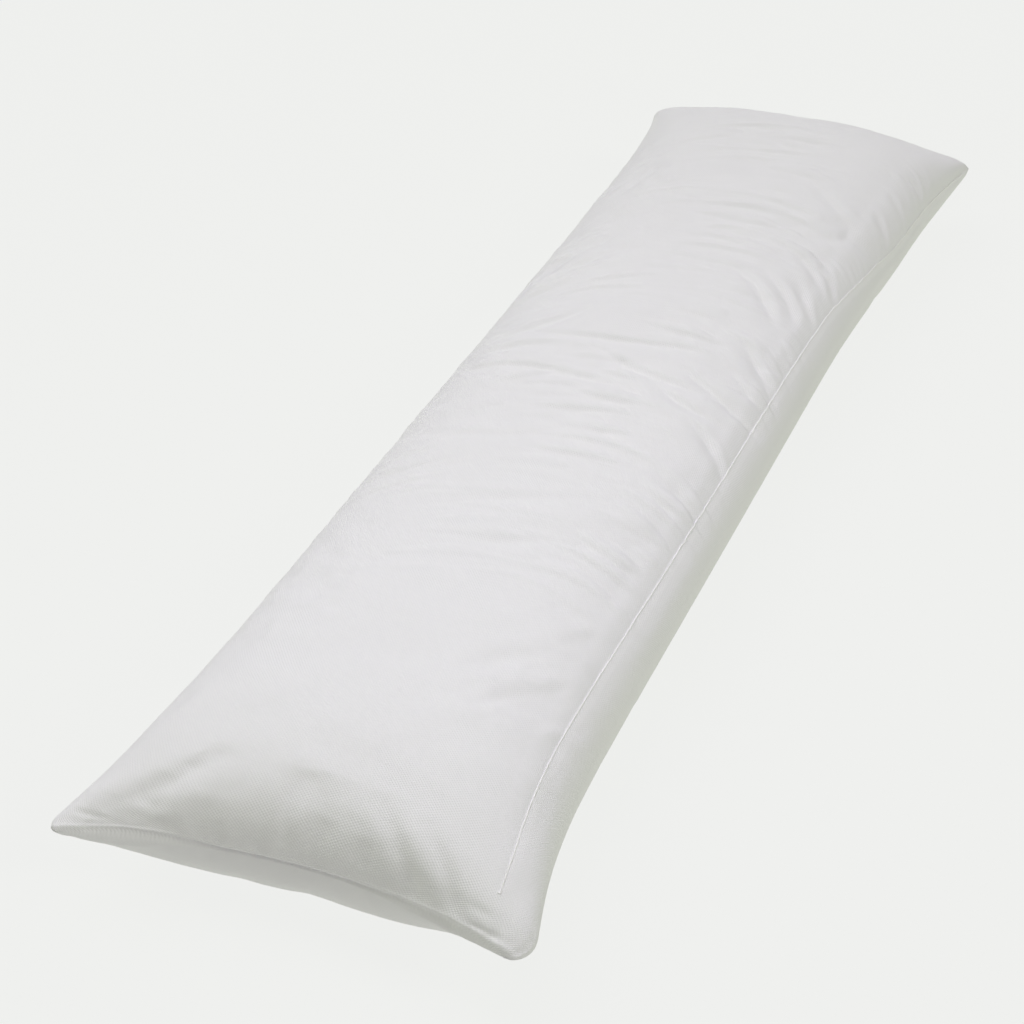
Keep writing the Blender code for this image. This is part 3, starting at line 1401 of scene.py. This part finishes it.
# Each row gives where a fold starts and ends on the cloth, across and along, and then its bow, its half
# width and its depth, all in millimetres. Its lean and its ridge share follow, where they aren't the
# usual ones.
FOLDS = tuple(
    Fold(*(size / MILLIMETRES for size in row[:7]), *row[7:])
    for row in (
        # Gathered from the left side
        (-155, 27, -50, 102, -12, 6.0, 3.4, 0.4),
        (-90, 39, 65, 57, -3, 5.5, 3.2, 0.4),
        (-150, -8, -45, 22, 6, 7.0, 3.0, 0.4),
        (-145, -31, 45, -45, 12, 6.0, 3.2, 0.4),
        (-165, 127, -95, 254, 10, 6.0, 3.0, 0.5),
        (-140, 147, -58, 233, 6, 7.0, 2.8, 0.5),
        (-155, 392, -118, 446, 0, 6.0, 2.0, 0.5),
        (-122, 382, -103, 438, 0, 6.0, 1.8, 0.5),
        (-96, 238, -88, 264, 0, 6.0, 1.6, 0.5),
        # Gathered from the right side
        (-20, 24, 98, -11, -10, 5.5, 3.4, 0.4),
        (50, -17, 120, -45, -8, 5.5, 2.8, 0.4),
        (68, 19, 150, -19, -5, 5.5, 3.4, 0.4),
        (95, -61, 150, -115, 6, 6.0, 3.0, 0.5),
        (35, 236, 116, 148, 11, 6.5, 2.5, 0.6),
        (77, 236, 132, 170, 8, 6.5, 2.2, 0.6),
        (107, 250, 147, 194, 0, 6.0, 2.1, 0.6),
        (103, 288, 140, 248, 3, 5.5, 1.9, 0.6),
        (118, 305, 150, 262, 4, 5.5, 1.6, 0.6),
        (62, 96, 85, 76, 0, 7.0, 2.0, 0.6),
        (103, 96, 150, 52, -3, 7.0, 2.8, 0.5),
        (133, 500, 162, 487, 0, 6.0, 1.8, 0.6),
        (133, 448, 160, 427, 0, 6.0, 1.8, 0.6),
        (137, 553, 160, 557, 0, 6.0, 1.8, 0.6),
        # Faint ones across the near half
        (-120, -157, 25, -123, -15, 9.0, 1.6, 0.5),
        (-75, -281, 85, -216, -3, 10.0, 1.4, 0.5),
        (0, -325, 60, -295, 0, 9.0, 1.2, 0.5),
        # Where the near end gathers to its seam
        (-100, -668, -132, -712, 0, 24.0, 3.6, 2.5, 0.0),
        (-155, -714, -130, -718, 0, 3.0, 0.8),
        (-166, -700, -172, -716, 0, 3.0, 0.8),
        (-112, -690, -100, -704, 0, 4.0, 0.8),
        (-58, -690, -80, -724, 0, 12.0, 1.6, 1.5),
        (-14, -650, -9, -718, 0, 4.5, 1.8, 1.6),
        (18, -690, 5, -722, 0, 10.0, 2.0),
        (42, -695, 45, -722, 0, 10.0, 1.6),
        (-152, -724, -80, -729, 0, 20.0, 3.4, 1.0, 0.0),
        (50, -722, 130, -722, 0, 20.0, 2.6, 1.0, 0.0),
        (50, -666, 82, -720, 0, 8.0, 3.2, 1.2, 0.0),
        (82, -666, 116, -722, 0, 7.0, 2.8, 1.2, 0.0),
        (120, -706, 136, -712, 0, 4.0, 0.9, 1.0, 0.0),
        (126, -727, 154, -729, 0, 4.0, 1.4, 1.0, 0.0),
    )
)

# Where the closing seam runs: how far along the cloth, and how far from the rim, in millimetres
SEAM_PLACES = tuple(
    SeamPlace(along / MILLIMETRES, from_rim / MILLIMETRES)
    for along, from_rim in (
        (-688, 53), (-650, 47), (-600, 44), (-300, 40), (100, 37),
        (240, 33), (350, 23), (440, 14), (560, 10), (700, 3),
    )
)


def main() -> None:
    """Builds the pillow, its closing seam and the studio, and reports each piece."""
    cotton = WhiteCotton().material()
    thread = SewingCotton().material()
    pillow = BodyPillow(folds=FOLDS)
    body = pillow.build()
    seam = ClosingSeam(pillow, SEAM_PLACES)
    seam.press_groove(body)
    seam.mark_band(body)
    pillow.add_weave_map(body)
    body.data.materials.append(cotton)
    ridge = seam.build(body)
    ridge.data.materials.append(thread)
    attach(body, "root")
    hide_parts("pillow")
    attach(ridge, "root")
    for piece in (body, ridge):
        log.info("%s: %d faces", piece.name, len(piece.data.polygons))
    Studio().build()


if __name__ == "__main__":
    main()
